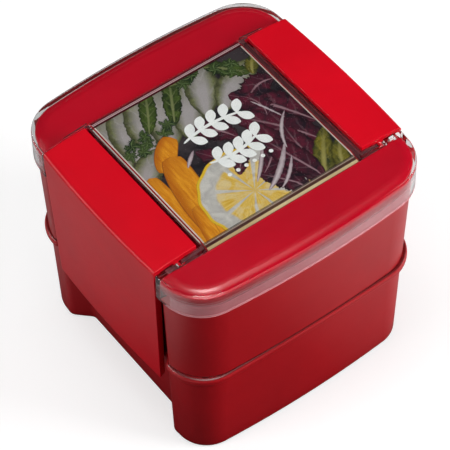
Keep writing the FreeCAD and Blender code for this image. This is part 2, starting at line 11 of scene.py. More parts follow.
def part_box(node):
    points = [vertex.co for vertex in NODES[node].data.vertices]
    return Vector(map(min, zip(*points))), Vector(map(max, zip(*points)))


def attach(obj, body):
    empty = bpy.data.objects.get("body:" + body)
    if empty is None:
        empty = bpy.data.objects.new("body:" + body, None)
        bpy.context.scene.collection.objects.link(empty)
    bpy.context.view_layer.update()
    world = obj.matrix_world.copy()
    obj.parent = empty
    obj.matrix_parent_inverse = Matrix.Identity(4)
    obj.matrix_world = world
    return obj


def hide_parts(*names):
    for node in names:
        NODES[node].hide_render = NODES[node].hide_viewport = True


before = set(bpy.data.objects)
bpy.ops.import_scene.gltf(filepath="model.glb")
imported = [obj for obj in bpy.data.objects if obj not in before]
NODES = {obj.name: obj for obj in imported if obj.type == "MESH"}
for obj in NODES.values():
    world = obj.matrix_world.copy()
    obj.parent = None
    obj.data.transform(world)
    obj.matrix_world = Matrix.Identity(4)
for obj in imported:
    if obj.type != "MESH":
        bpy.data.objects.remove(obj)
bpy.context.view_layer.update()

MM = 0.001
RANDOM = random.Random(7)

# Camera: direction, distance and framing that match the photograph's angle.
CAMERA_AZIMUTH = -35.71
CAMERA_ELEVATION = 51.234
CAMERA_ROLL = -1.334
CAMERA_DISTANCE = 1.04718
CAMERA_SHIFT = (-0.00006, -0.00398)
CAMERA_AIM_HEIGHT = 0.05
CAMERA_LENS = 204.8
SENSOR_WIDTH = 36.0
NEAR_CLIP = 0.05

# Lights: (name, direction from the lid, distance, size, power in watts, whether it is for reflections).
LIGHTS = [
    ("fill_top", (-0.1, 0.1, 1.0), 1.3, (0.7, 0.7), 5.6, False),
    ("fill_left", (-0.72, 0.1, 0.6), 1.3, (0.6, 0.6), 6.0, False),
    ("fill_right", (0.66, -0.7, 0.36), 1.3, (0.6, 0.6), 16.0, False),
    ("gloss_top", (-0.12, -0.3, 1.0), 1.3, (0.7, 0.5), 14.0, True),
    ("gloss_left", (-0.82, 0.5, 0.28), 1.2, (0.9, 0.1), 6.0, True),
    ("gloss_right", (0.9, -0.4, 0.1), 1.2, (0.6, 0.2), 2.5, True),
]
LIGHT_TARGET = (0, 0, 0.08)

# Strength of the white surroundings, by the kind of ray that meets them.
WORLD_LEVELS = [("Is Camera Ray", 1.0), ("Is Diffuse Ray", 0.2), ("Is Glossy Ray", 0.03)]

# Floor: half-width, gap below the feet, glow for the camera, and the share of it seen through plastic.
FLOOR_HALF = 3.0
FLOOR_DROP = 0.0002
FLOOR_GLOW = 0.58
FLOOR_THROUGH_PLASTIC = 0.45

# Heights on the box: the joint between the tiers, and the lower edges of the clear skirt and the insert.
SEAM_HEIGHT = 0.0512
SKIRT_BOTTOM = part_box("lid_shell")[0][2]
INSERT_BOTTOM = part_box("lid_insert")[0][2]
# Painted shade in hollows is left out above the first height, and is full below the second.
UNDER_LID = (0.0936, 0.0925)

# The clear lid's front and back zones start this far from the middle.
LID_ZONE_Y = 0.0425
# The insert's lower edge shows this much higher on the outside of the lid, because the wall bends light.
REFRACTION_RISE = 0.0009

# Plastics, as linear colours.
CONTAINER_RED = (0.42, 0.005, 0.01)
LATCH_RED = (0.64, 0.001, 0.011)
INSERT_RED = (0.5, 0.001, 0.014)
# The next colour is for the painted highlight lines on the clear lid.
HIGHLIGHT_PINK = (0.95, 0.4, 0.43)
CLEAR_TINT = (0.985, 0.99, 0.985)
CLEAR_SHADOW = (0.95, 0.955, 0.95)
FROSTED_DEEP = (0.8, 0.22, 0.26)
FROSTED_PALE = (0.88, 0.3, 0.34)
FROSTED_SHADOW = (0.93, 0.93, 0.93)
DIVIDER_WHITE = (0.82, 0.81, 0.79)

# How far edges look rounded, and how near a wall a hollow gets painted shade, in metres.
EDGE_SOFTENING = 0.0006
HOLLOW_REACH = 0.012

# Scales of the surface patterns, in cycles per metre.
FLOW_MARKS = 22.0
HANDLING_SMEARS = 160.0
MOULD_GRAIN = 2600.0
MOULD_WAVES = 60.0
HAIRLINES = 420.0
SOFT_CLOUD = 90.0
SOFT_GRAIN = 1800.0
PRINT_GRAIN = 2400.0

# The insert is drawn this much larger, so that it touches the clear plastic around it.
INSERT_GROWTH = 0.16 * MM

# Printed card, in millimetres: half-sizes of the card and its picture, heights of the sheet and its layers.
CARD_LIMITS = (36.25, 39.55)
PICTURE_LIMITS = (35.7, 35.9)
CARD_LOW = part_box("picture_card")[0][2] / MM
CARD_SHEET_BOTTOM = CARD_LOW + 0.01
CARD_SHEET_TOP = CARD_LOW + 0.125
LAYER_STEP = 0.0007
LEMON_CENTRE = (-5.0, -27.5)
LEMON_RADIUS = 22.5
LEMON_SECTORS = 8

# Leaves on the card, in millimetres: (start, bend, end, half-width, ruffle).
LETTUCE = [
    ((-38, 8), (-37, 24), (-30, 42), 6.5, 0.02), ((-32, 10), (-29, 26), (-22, 42), 7.0, 0.02),
    ((-25, 10), (-21, 26), (-13, 42), 7.0, 0.03), ((-18, 8), (-12, 24), (-3, 42), 7.5, 0.03),
    ((-9, 8), (-1, 24), (11, 35), 7.5, 0.03), ((3, 14), (10, 28), (18, 42), 7.0, 0.03),
    ((10, 12), (20, 23), (37, 27), 7.0, 0.04), ((-40, -5), (-34, 6), (-22, 12), 6.0, 0.04),
]
GREENS = [
    ((-21, 20), (-14, 30), (-8, 42), 3.6, 0.07), ((-10, 18), (-4, 28), (4, 42), 3.8, 0.07),
    ((17, 36), (25, 30), (30, 22), 4.0, 0.15), ((0, 36), (7, 34), (15, 37), 2.6, 0.2),
]
FRISEE_CENTRES = [
    (-33, 16), (-28, 14), (-24, 17), (-20, 13), (-16, 17), (-12, 20), (5, 34), (10, 35), (20, 32),
    (24, 27), (27, 31), (-30, 19), (-23, 20),
]
FRISEE_SPOKES = 7
RADICCHIO = [
    ((36, -14), (28, 4), (16, 18), 8.0, 0.06), ((33, -26), (24, -6), (10, 8), 7.5, 0.05),
    ((8, -38), (14, -20), (14, 2), 8.0, 0.06), ((36, 14), (28, 18), (20, 10), 6.0, 0.12),
    ((2, -34), (1, -16), (-12, 2), 6.5, 0.07), ((26, -40), (20, -24), (24, -8), 6.0, 0.06),
    ((6, -2), (2, 8), (-6, 12), 5.5, 0.1), ((22, 0), (26, 8), (19, 15), 4.5, 0.2),
]
RADICCHIO_FRONT = [
    ((14, -40), (8, -30), (1, -22), 4.6, 0.08), ((3, -23), (9, -20), (17, -12), 4.4, 0.06),
    ((-5, -18), (-1, -12), (6, -8), 3.0, 0.1), ((21, -40), (16, -30), (10, -24), 3.4, 0.08),
    ((21, -38), (17, -24), (13, -8), 6.0, 0.04),
]
WHITE_RIBS = [
    ((-1, -31), (9, -27), (19, -15), 1.3, 0.05), ((18, -18), (20, -9), (29, -2), 0.8, 0.1),
    ((-2, -25), (5, -19), (11, -11), 0.9, 0.05), ((4, -33), (11, -30), (17, -22), 0.8, 0.1),
    ((21, 10), (24, 4), (27, -5), 0.5, 0.2), ((-19, -3), (-16, 0), (-12, 3), 0.9, 0.1),
]
OLIVE_LEAVES = [
    ((20, -40), (26, -30), (36, -18), 4.2, 0.06), ((29, -40), (32, -32), (38, -26), 3.6, 0.06),
    ((31, 21), (33, 26), (37, 29), 3.0, 0.08),
]
CARROTS = [
    ((-36, -44), (-36, -20), (-34, 2), 4.6, 0.0), ((-27, 0), (-23, 8), (-15, 14), 4.6, 0.0),
    ((-27, -46), (-28, -18), (-21, 6), 6.6, 0.0), ((-34, -46), (-31, -36), (-28, -20), 3.2, 0.0),
]

# Leaf prints: (blade, shade and rib colours, rib width, number of veins, strength of the veins).
LEAF_LOOKS = {
    "lettuce": ((0.17, 0.18, 0.075), (0.08, 0.085, 0.04), (0.36, 0.33, 0.33), 0.75, 3.0, 0.5),
    "greens": ((0.07, 0.11, 0.02), (0.02, 0.035, 0.01), (0.18, 0.2, 0.08), 0.2, 5.0, 0.6),
    "frisee": ((0.05, 0.085, 0.02), (0.008, 0.022, 0.01), (0.14, 0.19, 0.07), 0.25, 4.0, 0.5),
    "radicchio": ((0.1, 0.012, 0.028), (0.016, 0.009, 0.016), (0.3, 0.17, 0.2), 0.1, 4.0, 0.22),
    "olive": ((0.2, 0.17, 0.02), (0.03, 0.04, 0.015), (0.3, 0.27, 0.08), 0.3, 5.0, 0.4),
    "rib": ((0.46, 0.38, 0.4), (0.3, 0.2, 0.24), (0.55, 0.48, 0.5), 0.6, 2.0, 0.3),
}

# Border round the picture, in metres from the card's middle: where it starts and its colours change.
BORDER_START = (0.0358, 0.0359)
FRONT_BANDS = (0.0362, 0.0366, 0.0381)
BACK_BANDS = (0.0368, 0.0372)

# White decoration, in millimetres and degrees: two sprigs, whose stems are leaves too, and a row of dots.
SPRIG_STEMS = [((-13, 8), (0, 12), (15, 8), 0.75, 0.0), ((-11, -6), (1, -10), (13, -5), 0.75, 0.0)]
SPRIG_LEAF_LENGTH = 7.4
SPRIG_LEAF_WIDTH = 2.1
SPRIG_LEAF_ANGLE = 52
SPRIG_LEAVES = 5
DOT_RADIUS = 0.9
DOT_PLACES = [(x, -15.5) for x in (-8, -4, 0, 4, 8, 12)]


class Graph:
    """Short way to write a node material."""

    def __init__(self, name):
        self.material = bpy.data.materials.new(name)
        self.material.use_nodes = True
        self.tree = self.material.node_tree
        self.tree.nodes.clear()
        self.output = self.add("ShaderNodeOutputMaterial")

    def add(self, kind, inputs=None, **settings):
        """Adds a node; inputs maps a socket's name or number to a value or another node's output."""
        node = self.tree.nodes.new(kind)
        for key, value in settings.items():
            setattr(node, key, value)
        for key, value in (inputs or {}).items():
            if isinstance(value, bpy.types.NodeSocket):
                self.tree.links.new(value, node.inputs[key])
            elif value is not None:
                node.inputs[key].default_value = value
        return node

    def math(self, operation, first, second=None, third=None):
        """One arithmetic node's result."""
        return self.add("ShaderNodeMath", {0: first, 1: second, 2: third}, operation=operation).outputs[0]

    def dot(self, first, second):
        """Dot product of two vectors."""
        node = self.add("ShaderNodeVectorMath", {0: first, 1: second}, operation="DOT_PRODUCT")
        return node.outputs["Value"]

    def place(self):
        """Object coordinates, in metres."""
        return self.add("ShaderNodeTexCoord").outputs["Object"]

    def axis(self, number, vector=None):
        """One coordinate of a vector, or of the place when none is given: 0 is X, 1 is Y and 2 is Z."""
        if vector is None:
            vector = self.place()
        return self.add("ShaderNodeSeparateXYZ", {0: vector}).outputs[number]

    def true_normal(self):
        """Surface normal without bump."""
        return self.add("ShaderNodeNewGeometry").outputs["Normal"]

    def stretched(self, scale, turn=0.0):
        """Object coordinates scaled along each axis after a turn about Z."""
        inputs = {"Vector": self.place(), "Scale": scale, "Rotation": (0.0, 0.0, turn)}
        return self.add("ShaderNodeMapping", inputs).outputs[0]

    def noise(self, vector, scale, detail=2.0, roughness=0.5, distortion=0.0):
        """Noise value with a scale in cycles per metre."""
        inputs = {"Vector": vector, "Scale": scale, "Detail": detail, "Roughness": roughness}
        inputs["Distortion"] = distortion
        return self.add("ShaderNodeTexNoise", inputs).outputs["Fac"]

    def spread(self, value, low, high, to_low=0.0, to_high=1.0):
        """Maps a value from one range to another, clamped."""
        inputs = {"Value": value, "From Min": low, "From Max": high, "To Min": to_low, "To Max": to_high}
        return self.add("ShaderNodeMapRange", inputs).outputs["Result"]

    def mix(self, share, first, second):
        """Colour mix."""
        node = self.add("ShaderNodeMix", {"Factor": share}, data_type="RGBA")
        for number, colour in ((6, first), (7, second)):
            if isinstance(colour, bpy.types.NodeSocket):
                self.tree.links.new(colour, node.inputs[number])
            else:
                node.inputs[number].default_value = (*colour[:3], 1.0)
        return node.outputs[2]

    def bump(self, height, strength, distance, normal=None):
        """Bump from a height value; distance is in metres."""
        inputs = {"Height": height, "Strength": strength, "Distance": distance, "Normal": normal}
        return self.add("ShaderNodeBump", inputs).outputs["Normal"]

    def blend(self, share, first, second):
        """Mix of two shaders."""
        return self.add("ShaderNodeMixShader", {0: share, 1: first, 2: second}).outputs[0]

    def diffuse(self, colour):
        """Plain matt shader."""
        return self.add("ShaderNodeBsdfDiffuse", {"Color": opaque(colour)}).outputs[0]

    def transparent(self, colour):
        """Shader that lets light straight through."""
        return self.add("ShaderNodeBsdfTransparent", {"Color": opaque(colour)}).outputs[0]

    def principled(self, inputs):
        """Full plastic or paper shader."""
        return self.add("ShaderNodeBsdfPrincipled", inputs).outputs[0]

    def surface(self, shader):
        """Connects the finished shader."""
        self.tree.links.new(shader, self.output.inputs["Surface"])
        return self.material


def opaque(colour):
    """A colour with full alpha; a node's output stays as it is."""
    if isinstance(colour, bpy.types.NodeSocket):
        return colour
    return (*colour, 1.0)


def scaled(colour, factor):
    """A colour made darker or lighter."""
    return tuple(channel * factor for channel in colour)


def outward_facing(g):
    """How far a face looks away from the middle axis, in metres; negative on inside walls."""
    outward = g.add("ShaderNodeVectorMath", {0: g.place(), 1: (1.0, 1.0, 0.0)}, operation="MULTIPLY")
    return g.dot(outward.outputs[0], g.true_normal())


def seam_shade(g):
    """Painted shadow line where the two tiers meet, on the outside walls only."""
    away = g.math("ABSOLUTE", g.math("SUBTRACT", g.axis(2), SEAM_HEIGHT))
    outside = g.math("GREATER_THAN", outward_facing(g), 0.0)
    return g.math("MULTIPLY", g.spread(away, 0.0007, 0.0003, 0.0, 0.75), outside)


def hollow_shade(g, shade):
    """Painted shade darkening recesses and gaps, everywhere but under the clear lid."""
    open_air = g.add("ShaderNodeAmbientOcclusion", {"Distance": HOLLOW_REACH}, samples=6).outputs["AO"]
    return g.math("MULTIPLY", g.spread(open_air, 0.1, 0.75, shade, 0.0), g.spread(g.axis(2), *UNDER_LID))


def red_plastic(name, colour, roughness, specular, shade=0.0, painted_flank_shade=0.0):
    """Moulded satin plastic: fine spark-eroded grain, slow flow marks, and polished edges that a painted
    highlight makes slightly paler.

    shade sets the painted shade in hollows and the painted shadow line at the joint between the tiers; the
    last argument paints shade on upright faces.
    """
    g = Graph(name)
    place = g.place()
    flow = g.noise(place, FLOW_MARKS, detail=3.0, roughness=0.55, distortion=0.4)
    speckle = g.noise(place, MOULD_GRAIN, detail=2.0, roughness=0.6)
    smear = g.noise(place, HANDLING_SMEARS, detail=4.0, roughness=0.6, distortion=0.8)
    base = g.mix(g.spread(flow, 0.35, 0.65), scaled(colour, 0.93), scaled(colour, 1.06))
    base = g.mix(g.spread(speckle, 0.3, 0.7, 0.0, 0.1), base, scaled(colour, 0.7))

    soft = g.add("ShaderNodeBevel", {"Radius": EDGE_SOFTENING}, samples=8).outputs["Normal"]
    sharp = g.true_normal()
    edge = g.spread(g.dot(soft, sharp), 0.995, 0.9)
    # Painted highlight: edges are mixed toward a paler red.
    painted_edge_highlight = (min(1.0, colour[0] * 1.5), colour[1] * 2.5, colour[2] * 2.5)
    base = g.mix(g.math("MULTIPLY", edge, 0.25), base, painted_edge_highlight)

    # Painted shade in hollows and gaps.
    hollow = hollow_shade(g, shade)
    base = g.mix(hollow, base, scaled(colour, 0.25))
    # Painted shadow line at the joint between the tiers.
    base = g.mix(g.math("MULTIPLY", seam_shade(g), shade), base, scaled(colour, 0.08))
    up = g.axis(2, sharp)
    # Painted shade on upright faces.
    base = g.mix(g.spread(up, 0.5, 0.2, 0.0, painted_flank_shade), base, scaled(colour, 0.3))
    dull = g.math("MAXIMUM", hollow, g.spread(up, 0.8, 0.5, 0.0, min(1.0, painted_flank_shade * 2)))
    shine = g.math("MULTIPLY_ADD", dull, -specular, specular)

    gloss = g.spread(smear, 0.3, 0.7, roughness - 0.01, roughness + 0.02)
    gloss = g.math("SUBTRACT", gloss, g.math("MULTIPLY", edge, 0.02))
    fine = g.bump(speckle, 0.35, 0.00003, soft)
    return g.surface(g.principled({
        "Base Color": base, "Roughness": gloss, "Normal": g.bump(flow, 0.1, 0.0004, fine), "IOR": 1.5,
        "Specular IOR Level": shine, "Subsurface Weight": 0.06, "Subsurface Scale": 0.0015,
        "Subsurface Radius": (1.0, 0.2, 0.1),
    }))


def clear_plastic():
    """Polished clear styrene: faint moulding waves and hairline scratches; light passes to what is below.

    A painted highlight runs along the skirt's cut edge, and a faint painted highlight line where the insert
    ends behind the wall.
    """
    g = Graph("clear_styrene")
    place = g.place()
    wave = g.noise(place, MOULD_WAVES, detail=2.0)
    scratch = g.noise(g.stretched((1.0, 14.0, 1.0), 0.6), HAIRLINES, detail=3.0, roughness=0.7)

    height = g.axis(2)
    in_zone = g.math("GREATER_THAN", g.math("ABSOLUTE", g.axis(1)), LID_ZONE_Y)
    outer = g.math("MULTIPLY", g.spread(outward_facing(g), 0.02, 0.04), in_zone)
    contact = INSERT_BOTTOM + REFRACTION_RISE
    less_shine = g.spread(height, contact - 0.0002, contact + 0.0002, 0.15, 0.5)
    glass = g.principled({
        "Base Color": opaque(CLEAR_TINT), "Roughness": g.spread(scratch, 0.62, 0.78, 0.015, 0.07),
        "IOR": 1.5, "Transmission Weight": 1.0, "Normal": g.bump(wave, 0.08, 0.0002),
        "Specular IOR Level": g.math("SUBTRACT", 0.5, g.math("MULTIPLY", outer, less_shine)),
    })

    # Painted highlights on the outer wall: a bright line along the skirt's cut edge and a faint one where the
    # insert ends.
    cut_edge_highlight = g.spread(height, SKIRT_BOTTOM + 0.0004, SKIRT_BOTTOM + 0.0003, 0.0, 0.8)
    from_contact = g.math("ABSOLUTE", g.math("SUBTRACT", height, contact))
    contact_highlight = g.spread(from_contact, 0.0003, 0.0001, 0.0, 0.4)
    lines = g.math("MULTIPLY", g.math("MAXIMUM", cut_edge_highlight, contact_highlight), outer)
    solid = g.blend(lines, glass, g.diffuse(HIGHLIGHT_PINK))

    path = g.add("ShaderNodeLightPath")
    passing = g.math("MAXIMUM", path.outputs["Is Shadow Ray"], path.outputs["Is Diffuse Ray"])
    return g.surface(g.blend(passing, solid, g.transparent(CLEAR_SHADOW)))


def milky_plastic():
    """Stiff, slightly translucent polypropylene of the dividers."""
    g = Graph("divider_polypropylene")
    place = g.place()
    cloud = g.noise(place, SOFT_CLOUD, detail=3.0)
    grain = g.noise(place, SOFT_GRAIN, detail=2.0)
    return g.surface(g.principled({
        "Base Color": g.mix(g.spread(cloud, 0.3, 0.7), scaled(DIVIDER_WHITE, 0.93), DIVIDER_WHITE),
        "Roughness": g.spread(grain, 0.2, 0.8, 0.35, 0.45),
        "Normal": g.bump(grain, 0.3, 0.00003), "Transmission Weight": 0.35, "IOR": 1.5,
        "Subsurface Weight": 0.3, "Subsurface Scale": 0.004,
    }))


def frosted_plastic():
    """Thin polyethylene of the inner lids: hazy, tinted pink, and partly see-through."""
    g = Graph("frosted_polyethylene")
    place = g.place()
    cloud = g.noise(place, SOFT_CLOUD, detail=3.0)
    grain = g.noise(place, SOFT_GRAIN, detail=2.0)
    haze = g.principled({
        "Base Color": g.mix(g.spread(cloud, 0.3, 0.7), FROSTED_DEEP, FROSTED_PALE),
        "Roughness": g.spread(grain, 0.2, 0.8, 0.38, 0.5), "Normal": g.bump(grain, 0.3, 0.00003),
        "IOR": 1.45, "Specular IOR Level": 0.15,
    })
    return g.surface(g.blend(0.45, g.transparent(FROSTED_SHADOW), haze))


def dress(node, material):
    """Gives a CAD node one material."""
    mesh = NODES[node].data
    mesh.materials.clear()
    mesh.materials.append(material)


def inflate(node, distance):
    """Grows a CAD node's shown surface, after joining its doubled points so that no seam opens."""
    weld = NODES[node].modifiers.new("weld", "WELD")
    weld.merge_threshold = 0.00001
    grow = NODES[node].modifiers.new("grow", "DISPLACE")
    grow.mid_level = 0.0
    grow.strength = distance


def dress_all():
    """Gives every CAD node its plastic."""
    container = red_plastic("container_polypropylene", CONTAINER_RED, 0.34, 0.5, shade=0.9)
    latch = red_plastic("latch_plastic", LATCH_RED, 0.31, 0.25)
    insert = red_plastic("insert_plastic", INSERT_RED, 0.2, 0.5, painted_flank_shade=0.6)
    divider = milky_plastic()
    frosted = frosted_plastic()
    plastics = {
        "lower_container": container, "upper_container": container, "left_latch": latch,
        "right_latch": latch, "lid_insert": insert, "lid_shell": clear_plastic(),
        "lower_inner_lid": frosted, "upper_inner_lid": frosted,
        "lower_divider": divider, "upper_divider": divider,
    }
    for node, material in plastics.items():
        dress(node, material)
    inflate("lid_insert", INSERT_GROWTH)


def bent_point(start, bend, end, along):
    """Point on a curve that runs from start to end and leans toward bend."""
    first, second, third = (1 - along) ** 2, 2 * along * (1 - along), along ** 2
    return tuple(first * a + second * b + third * c for a, b, c in zip(start, bend, end))


def leaf_half_width(along, width, blunt):
    """Half-width of a leaf at a share of its length."""
    return width * math.sin(math.pi * min(max(along, 0.0), 1.0)) ** blunt


class Print:
    """Flat printed shapes stacked in very thin layers, each with a map along and across itself."""

    layer = 0

    def __init__(self):
        self.points = []
        self.faces = []
        self.maps = []

    def grid(self, columns, rows, place):
        """Adds one shape; place(along, across) gives its position, both from 0 to 1."""
        Print.layer += 1
        height = CARD_SHEET_TOP + Print.layer * LAYER_STEP
        first = len(self.points)
        for column in range(columns + 1):
            for row in range(rows + 1):
                along, across = column / columns, row / rows
                x, y = place(along, across)
                self.points.append((x * MM, y * MM, height * MM))
                self.maps.append((along, across))
        for column in range(columns):
            for row in range(rows):
                corner = first + column * (rows + 1) + row
                self.faces.append((corner, corner + rows + 1, corner + rows + 2, corner + 1))

    def leaf(self, shape, blunt=0.6):
        """Adds a leaf or strip with a wavy outline."""
        start, bend, end, width, ruffle = shape
        phase = RANDOM.uniform(0, math.tau)
        waves = RANDOM.uniform(5, 9)

        def place(along, across):
            x, y = bent_point(start, bend, end, along)
            ahead = bent_point(start, bend, end, along + 0.01)
            direction = Vector((ahead[0] - x, ahead[1] - y)).normalized()
            ripple = math.sin(along * waves * math.tau + phase) + math.sin(along * waves * 16 + phase)
            side = (across * 2 - 1) * leaf_half_width(along, width, blunt) * (1 + ruffle * ripple)
            return x - direction.y * side, y + direction.x * side

        self.grid(36, 6, place)

    def disc(self, centre, radius, columns=90, rows=12):
        """Adds a disc, slightly lobed, whose map runs round it and outward."""
        def place(along, across):
            angle = along * math.tau
            reach = radius * max(across, 0.003) * (1 + 0.012 * math.sin(angle * 14))
            return centre[0] + reach * math.cos(angle), centre[1] + reach * math.sin(angle)

        self.grid(columns, rows, place)

    def rectangle(self, low, high):
        """Adds a rectangle between two corners."""
        def place(along, across):
            return low[0] + (high[0] - low[0]) * along, low[1] + (high[1] - low[1]) * across

        self.grid(1, 1, place)

    def finish(self, name, material):
        """Turns the shapes into an object, trimmed to the card."""
        mesh = bpy.data.meshes.new(name)
        mesh.from_pydata(self.points, [], self.faces)
        layer = mesh.uv_layers.new(name="shape")
        for loop in mesh.loops:
            layer.data[loop.index].uv = self.maps[loop.vertex_index]
        trim_to_card(mesh)
        print_object(name, mesh, material)


def trim_to_card(mesh):
    """Cuts a printed mesh at the card's four sides."""
    half_x, half_y = CARD_LIMITS
    sides = [((1, 0, 0), half_x), ((-1, 0, 0), half_x), ((0, 1, 0), half_y), ((0, -1, 0), half_y)]
    work = bmesh.new()
    work.from_mesh(mesh)
    for normal, distance in sides:
        everything = work.verts[:] + work.edges[:] + work.faces[:]
        point = Vector(normal) * distance * MM
        bmesh.ops.bisect_plane(work, geom=everything, plane_co=point, plane_no=normal, clear_outer=True)
    work.to_mesh(mesh)
    work.free()


def print_object(name, mesh, material):
    """Links a piece of the print and fixes it to the lid."""
    mesh.materials.append(material)
    obj = bpy.data.objects.new(name, mesh)
    bpy.context.scene.collection.objects.link(obj)
    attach(obj, "outer_lid")
    return obj


def ink(name, pattern):
    """Printed ink: a pattern's colour with fine print grain."""
    g = Graph(name)
    colour = pattern(g)
    grain = g.noise(g.place(), PRINT_GRAIN, detail=1.0)
    return g.surface(g.principled({
        "Base Color": g.mix(g.spread(grain, 0.3, 0.7, 0.0, 0.12), colour, (0.02, 0.02, 0.02)),
        "Roughness": g.spread(grain, 0.2, 0.8, 0.27, 0.4), "IOR": 1.45, "Specular IOR Level": 0.1,
    }))


def own_map(g):
    """A printed shape's own coordinates: along it, across it, and distance from its middle line."""
    parts = g.add("ShaderNodeSeparateXYZ", {0: g.add("ShaderNodeTexCoord").outputs["UV"]})
    side = g.math("ABSOLUTE", g.math("MULTIPLY_ADD", parts.outputs[1], 2.0, -1.0))
    return parts.outputs[0], parts.outputs[1], side


def leaf_pattern(blade, shade, rib, rib_width, veins, vein_share):
    """Leaf print: mottled blade, pale middle rib, slanting side veins and shaded edges."""
    def pattern(g):
        along, _, side = own_map(g)
        place = g.place()
        mottle = g.noise(place, 170.0, detail=6.0, roughness=0.62, distortion=1.1)
        colour = g.mix(g.spread(mottle, 0.38, 0.62), shade, blade)
        crease = g.noise(place, 520.0, detail=4.0, distortion=1.6)
        colour = g.mix(g.spread(crease, 0.56, 0.7, 0.0, 0.45), colour, scaled(shade, 0.5))
        slant = g.math("MULTIPLY_ADD", along, veins * math.tau, g.math("MULTIPLY", side, -6.0))
        bent = g.math("ADD", slant, g.math("MULTIPLY", mottle, 5.0))
        vein = g.spread(g.math("SINE", bent), 0.82, 1.0, 0.0, vein_share)
        colour = g.mix(g.math("MULTIPLY", vein, g.spread(side, 1.0, 0.3)), colour, rib)
        wobble = g.math("MULTIPLY_ADD", mottle, 0.2, -0.1)
        middle = g.spread(g.math("ADD", side, wobble), rib_width, rib_width * 0.3)
        taper = g.spread(along, 1.0, 0.45, 0.15, 1.0)
        colour = g.mix(g.math("MULTIPLY", middle, taper), colour, rib)
        return g.mix(g.spread(side, 0.68, 1.0, 0.0, 0.8), colour, scaled(shade, 0.35))
    return pattern


def leaf_ink(look):
    """Ink of one kind of leaf."""
    return ink(look + "_ink", leaf_pattern(*LEAF_LOOKS[look]))


def carrot_pattern(g):
    """Carrot sticks: long fibres, paler cut edges and a darker flank."""
    along, across, side = own_map(g)
    fibre = g.noise(g.stretched((1.0, 0.14, 1.0)), 900.0, detail=4.0, distortion=0.3)
    colour = g.mix(g.spread(fibre, 0.35, 0.65), (0.6, 0.19, 0.008), (0.78, 0.33, 0.02))
    colour = g.mix(g.spread(across, 0.62, 0.86, 0.0, 0.75), colour, (0.42, 0.1, 0.006))
    colour = g.mix(g.spread(along, 0.78, 0.95, 0.0, 0.5), colour, (0.5, 0.15, 0.01))
    return g.mix(g.spread(side, 0.9, 1.0, 0.0, 0.85), colour, (0.2, 0.05, 0.01))


def lemon_pattern(g):
    """Lemon slice: rind, white pith and segments with juicy radial streaks."""
    turn, reach, _ = own_map(g)
    sector = g.math("SINE", g.math("MULTIPLY", turn, LEMON_SECTORS * math.tau))
    spokes = g.add("ShaderNodeCombineXYZ", {0: g.math("MULTIPLY", turn, 60.0), 1: reach}).outputs[0]
    streak = g.noise(spokes, 3.0, detail=4.0)
    cloud = g.noise(g.place(), 240.0, detail=4.0, distortion=0.8)
    flesh = g.mix(g.spread(streak, 0.35, 0.65), (0.62, 0.36, 0.025), (0.78, 0.56, 0.16))
    flesh = g.mix(g.spread(cloud, 0.45, 0.65, 0.0, 0.5), flesh, (0.7, 0.62, 0.42))
    pith = g.mix(g.spread(cloud, 0.35, 0.65), (0.44, 0.42, 0.4), (0.6, 0.58, 0.54))
    colour = g.mix(g.spread(sector, 0.8, 0.93), flesh, pith)
    colour = g.mix(g.spread(reach, 0.64, 0.69), colour, pith)
    colour = g.mix(g.spread(reach, 0.93, 0.955), colour, (0.72, 0.47, 0.03))
    return g.mix(g.spread(reach, 0.985, 1.0, 0.0, 0.7), colour, (0.3, 0.16, 0.01))


def dark_bed_pattern(g):
    """Deep shade between the leaves."""
    depth = g.noise(g.place(), 120.0, detail=5.0, distortion=1.2)
    return g.mix(g.spread(depth, 0.35, 0.65), (0.009, 0.008, 0.012), (0.045, 0.035, 0.04))


def white_ink_pattern(g):
    """Opaque white ink."""
    cloud = g.noise(g.place(), 300.0, detail=3.0)
    return g.mix(g.spread(cloud, 0.3, 0.7), (0.84, 0.86, 0.85), (0.93, 0.94, 0.93))


def stepped(g, value, limits, colours):
    """Colour bands along a value; each limit starts the next colour."""
    colour = colours[0]
    for limit, following in zip(limits, colours[1:]):
        colour = g.mix(g.spread(value, limit - 0.00008, limit + 0.00008), colour, following)
    return colour


def border_pattern(g):
    """Border round the picture: pale rules at the sides; in front a painted shadow line, a pale painted
    reflection line, then brown and cream bands; dark red behind.
    """
    fade = g.noise(g.place(), 40.0, detail=2.0)
    back = g.axis(1)
    front = g.math("MULTIPLY", back, -1.0)
    cream = g.mix(g.spread(fade, 0.35, 0.65), (0.62, 0.48, 0.24), (0.85, 0.72, 0.42))
    brown = g.mix(g.spread(fade, 0.35, 0.65), (0.06, 0.012, 0.012), (0.1, 0.035, 0.02))
    # In front: a painted shadow of the window's top edge, a pale painted reflection of its front chamfer,
    # then brown and cream bands.
    front_colours = [(0.02, 0.01, 0.01), (0.55, 0.42, 0.34), brown, cream]
    back_colours = [(0.05, 0.0, 0.005), (0.6, 0.4, 0.42), (0.1, 0.002, 0.008)]
    front_bands = stepped(g, front, FRONT_BANDS, front_colours)
    back_bands = stepped(g, back, BACK_BANDS, back_colours)
    sides = g.mix(fade, (0.6, 0.5, 0.45), (0.8, 0.72, 0.66))
    colour = g.mix(g.spread(front, *BORDER_START), sides, front_bands)
    return g.mix(g.spread(back, *BORDER_START), colour, back_bands)


